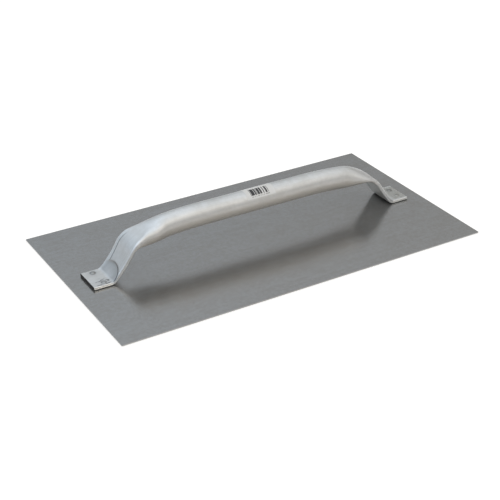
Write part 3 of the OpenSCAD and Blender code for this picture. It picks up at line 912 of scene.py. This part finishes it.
def makeRivets(places):
    low, bladeTop = (corner.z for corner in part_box("blade"))
    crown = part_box(next(iter(places)))[1].z
    footTop = crown - rivets["headHeight"] * mm
    points = rivetProfile(low, bladeTop, footTop)
    piece = newPiece("rivets_set", points, [(i, i + 1) for i in range(len(points) - 1)])
    sizes = {**inMetres(rivets["setting"]), **rivets["shares"], **places}
    sizes.update(bladeTop=bladeTop, footTop=footTop, crown=crown, metal=hammeredSteel())
    runTree(piece, rivetTree(sizes, list(places)), sizes)
    bm = bmesh.new()
    bm.from_mesh(piece.data)
    closeUp(piece, bm, rivets["sharp"])
    return piece


# Label: a paper sticker on the grip, with a generic row of bars

label = {
    "paper": "#DCDEDF",
    "paperDull": "#D4D6D6",
    "ink": "#2E2E30",
    "roughness": 0.5,
    "ior": 1.5,
    "fibre": 0.8,                 # mm; paper fibres are finer and are drawn coarse to show
    "fibreDepth": 0.01,           # mm
    "glue": 0.03,                 # mm between the tube and the paper
    "sharp": 40.0,                # degrees, the least that makes an edge
    "wrapTurn": 12.0,             # degrees from the top of the grip towards the front
    "steps": (60, 36),            # faces along and around
    "barsAlong": (0.14, 0.81),    # shares of the label's length
    "barsAround": (0.38, 0.82),   # shares of the label's wrap, from its rear edge
    "barCount": 43,               # wider than the 0.3 mm bars of a real sticker, so that they show
    "barChance": 0.5,
    "blocksAlong": (0.14, 0.36),
    "blockCount": 5,
    "blockChance": 0.6,
    "marksAround": (0.86, 0.92),
    "markCount": 22,
    "markChance": 0.65,
    "markShare": 0.45,            # of the ink's blackness
    "seed": 3.0,
}


def coatedPaper():
    # printed sticker: white, faintly glossy paper with black bars and a row of tiny grey marks
    material, tree = newMaterial("coatedPaper")
    place = add(tree, "ShaderNodeSeparateXYZ", add(tree, "ShaderNodeUVMap", uv_map="label"), out=None)

    def printed(along, around, count, share):
        # columns inked by chance, inside a window of the label
        start, stop = along
        column = add(tree, ramp, place["X"], start, stop, 0.0, float(count))
        column = add(tree, calc, add(tree, calc, column, operation="FLOOR"), label["seed"], operation="ADD")
        chance = add(tree, "ShaderNodeTexWhiteNoise", None, column, noise_dimensions="1D")
        ink = add(tree, calc, chance, share, operation="LESS_THAN")
        for axis, limits in ((place["X"], along), (place["Y"], around)):
            ink = add(tree, calc, ink, add(tree, calc, axis, limits[0], operation="GREATER_THAN"),
                      operation="MULTIPLY")
            ink = add(tree, calc, ink, add(tree, calc, axis, limits[1], operation="LESS_THAN"),
                      operation="MULTIPLY")
        return ink

    bars = printed(label["barsAlong"], label["barsAround"], label["barCount"], label["barChance"])
    blocks = printed(label["blocksAlong"], label["barsAround"], label["blockCount"], label["blockChance"])
    tiny = printed(label["barsAlong"], label["marksAround"], label["markCount"], label["markChance"])
    inked = add(tree, calc, bars, blocks, operation="MAXIMUM")
    inked = add(tree, calc, tiny, label["markShare"], inked, operation="MULTIPLY_ADD", use_clamp=True)
    spot = add(tree, "ShaderNodeTexCoord", out="Object")
    fibres = add(tree, cloudy, add(tree, stretch, spot, None, None, perMetre(label["fibre"])),
                 None, 1.0, 3.0)
    paper = add(tree, blend, fibres, named={6: linear(label["paper"]), 7: linear(label["paperDull"])},
                data_type="RGBA", out=2)
    colour = add(tree, blend, inked, named={6: paper, 7: linear(label["ink"])}, data_type="RGBA", out=2)
    finishMaterial(tree, {"Base Color": colour, "Roughness": label["roughness"], "IOR": label["ior"]},
                   fibres, label["fibreDepth"])
    return material


def makeLabel():
    low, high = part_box("paper_label")
    gripRadius = handle["tube"]["gripDiameter"] * mm / 2
    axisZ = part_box("handle_tube")[1].z - gripRadius
    outer = high.z - axisZ
    inner = gripRadius + label["glue"] * mm
    wrapTurn = math.radians(label["wrapTurn"])
    wrapHalf = math.asin(-low.y / outer) - wrapTurn
    columns, rows = label["steps"]
    points = []
    shares = []
    for radius in (outer, inner):
        for i in range(columns + 1):
            for j in range(rows + 1):
                u, v = i / columns, j / rows
                turn = wrapTurn + wrapHalf * (2 * v - 1)
                points.append((low.x + (high.x - low.x) * u, -radius * math.sin(turn),
                               axisZ + radius * math.cos(turn)))
                shares.append((u, v))
    layer = (columns + 1) * (rows + 1)
    faces = []
    for i in range(columns):
        for j in range(rows):
            a = i * (rows + 1) + j
            quad = (a, a + 1, a + rows + 2, a + rows + 1)
            faces.append(quad[::-1])
            faces.append(tuple(k + layer for k in quad))
    border = [i * (rows + 1) for i in range(columns)]
    border += [columns * (rows + 1) + j for j in range(rows)]
    border += [i * (rows + 1) + rows for i in range(columns, 0, -1)]
    border += list(range(rows, 0, -1))
    for k, a in enumerate(border):
        b = border[(k + 1) % len(border)]
        faces.append((a, b, b + layer, a + layer))
    piece = newPiece("paper_label_wrapped", points, (), faces)
    uv = piece.data.uv_layers.new(name="label")
    for loop in piece.data.loops:
        uv.data[loop.index].uv = shares[loop.vertex_index]
    piece.data.shade_smooth()
    bm = bmesh.new()
    bm.from_mesh(piece.data)
    closeUp(piece, bm, label["sharp"])
    piece.data.materials.append(coatedPaper())
    return piece


# Stage: pale floor, white surroundings, one soft lamp and the camera

stage = {
    "white": "#FFFFFF",
    "floor": "#E8E8E8",
    "floorSize": 14.0,            # m
    "floorDrop": 0.3,             # mm under the blade
    "floorGlow": 0.42,            # lifts the lit floor to white
    "ambient": 0.8,               # brightness of the even light
    "horizon": 0.07,              # brightness that the metal mirrors low down
    "overhead": 1.5,              # and straight up
    "left": (1.47, "#D7EBFF"),    # share of it on each side, and its colour there
    "right": (0.64, "#FFF7EC"),
    "lamps": [
        # name, azimuth, elevation and distance from the object (m), width, height, brightness, colour
        ("key", 15.0, 48.0, 3.2, 2.2, 2.2, 0.8, "#FFE6C2"),
    ],
}
view = {
    "azimuth": -30.753,           # degrees
    "elevation": 29.234,
    "roll": -0.234,
    "distance": 1484.14,          # mm from the point that it looks at
    "target": Vector((-21.417, -28.015, 0.0)),
    "lens": 86.253,               # mm
    "sensor": 36.0,               # mm
    "clipStart": 50.0,            # mm
}


def seenDirectly(tree):
    # 1 for rays from the camera, from polished metal and through glass
    path = add(tree, "ShaderNodeLightPath", out=None)
    seen = add(tree, calc, path["Is Camera Ray"], path["Is Glossy Ray"], operation="MAXIMUM")
    return add(tree, calc, seen, path["Is Transmission Ray"], operation="MAXIMUM")


def makeWorld():
    # metal mirrors a graded surround, other light is even, and the camera sees plain white
    world = bpy.data.worlds.new("studio")
    bpy.context.scene.world = world
    world.use_nodes = True
    tree = world.node_tree
    tree.nodes.clear()
    way = add(tree, "ShaderNodeSeparateXYZ", add(tree, "ShaderNodeTexCoord", out="Generated"), out=None)
    side = add(tree, ramp, way["X"], -1.0, 1.0, 0.0, 1.0)
    pale = add(tree, ramp, way["Z"], 0.0, 1.0, stage["horizon"], stage["overhead"])
    ends = [[share * part for part in linear(colour)] for share, colour in (stage["left"], stage["right"])]
    tint = add(tree, blend, side, named={6: ends[0], 7: ends[1]}, data_type="RGBA", out=2)
    seen = seenDirectly(tree)
    white = linear(stage["white"])
    tint = add(tree, blend, seen, named={6: white, 7: tint}, data_type="RGBA", out=2)
    strength = add(tree, ramp, seen, 0.0, 1.0, stage["ambient"], pale)
    behind = add(tree, "ShaderNodeLightPath", out="Is Camera Ray")
    tint = add(tree, blend, behind, named={6: tint, 7: white}, data_type="RGBA", out=2)
    strength = add(tree, ramp, behind, 0.0, 1.0, strength, 1.0)
    surround = add(tree, "ShaderNodeBackground", tint, strength)
    add(tree, "ShaderNodeOutputWorld", surround, out=None)


def makeFloor():
    reach = stage["floorSize"] / 2
    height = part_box("blade")[0].z - stage["floorDrop"] * mm
    corners = [(-reach, -reach), (reach, -reach), (reach, reach), (-reach, reach)]
    floor = newPiece("floor", [(x, y, height) for x, y in corners], (), [(0, 1, 2, 3)])
    material, tree = newMaterial("paleFloor")
    glow = add(tree, calc, seenDirectly(tree), stage["floorGlow"], operation="MULTIPLY")
    surface = add(tree, "ShaderNodeBsdfDiffuse", linear(stage["floor"]))
    light = add(tree, "ShaderNodeEmission", linear(stage["white"]), glow)
    add(tree, "ShaderNodeOutputMaterial", add(tree, "ShaderNodeAddShader", surface, light), out=None)
    floor.data.materials.append(material)


def direction(azimuth, elevation):
    a, e = math.radians(azimuth), math.radians(elevation)
    return Vector((math.sin(a) * math.cos(e), -math.cos(a) * math.cos(e), math.sin(e)))


def makeLamps():
    for name, azimuth, elevation, distance, width, height, brightness, colour in stage["lamps"]:
        lamp = bpy.data.lights.new(name, "AREA")
        lamp.shape = "RECTANGLE"
        lamp.size = width
        lamp.size_y = height
        lamp.energy = brightness * math.pi * width * height
        lamp.color = linear(colour)[:3]
        holder = bpy.data.objects.new(name, lamp)
        bpy.context.scene.collection.objects.link(holder)
        back = direction(azimuth, elevation)
        holder.location = back * distance
        holder.rotation_euler = back.to_track_quat("Z", "Y").to_euler()


def makeCamera():
    camera = bpy.data.cameras.new("camera")
    camera.lens = view["lens"]
    camera.sensor_width = view["sensor"]
    camera.clip_start = view["clipStart"] * mm
    holder = bpy.data.objects.new("camera", camera)
    bpy.context.scene.collection.objects.link(holder)
    back = direction(view["azimuth"], view["elevation"])
    right = (-back).cross(Vector((0, 0, 1))).normalized()
    up = right.cross(-back)
    roll = math.radians(view["roll"])
    level = right * math.cos(roll) + up * math.sin(roll)
    upright = up * math.cos(roll) - right * math.sin(roll)
    place = (view["target"] + back * view["distance"]) * mm
    turn = Matrix((level, upright, back)).transposed().to_4x4()
    holder.matrix_world = Matrix.Translation(place) @ turn
    bpy.context.scene.camera = holder


makeWorld()
makeFloor()
makeLamps()
makeCamera()
bpy.context.scene.view_settings.view_transform = "Standard"
print("stage ready")

rivetNames = ["rivet_left_rear", "rivet_left_front", "rivet_right_rear", "rivet_right_front"]
rivetPlaces = {}
for name in rivetNames:
    low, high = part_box(name)
    rivetPlaces[name] = Vector(((low.x + high.x) / 2, (low.y + high.y) / 2, 0))

pieces = [
    (makeBlade(rivetPlaces), "blade_steel", ["blade"]),
    (makeHandle(rivetPlaces), "handle_aluminium", ["handle_tube"]),
    (makeRivets(rivetPlaces), "rivet_steel", rivetNames),
    (makeLabel(), "label_paper", ["paper_label"]),
]
for piece, slot, nodes in pieces:
    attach(piece, "root")
    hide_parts(*nodes)
    print(piece.name, len(piece.data.polygons), "faces, for", ", ".join(nodes))
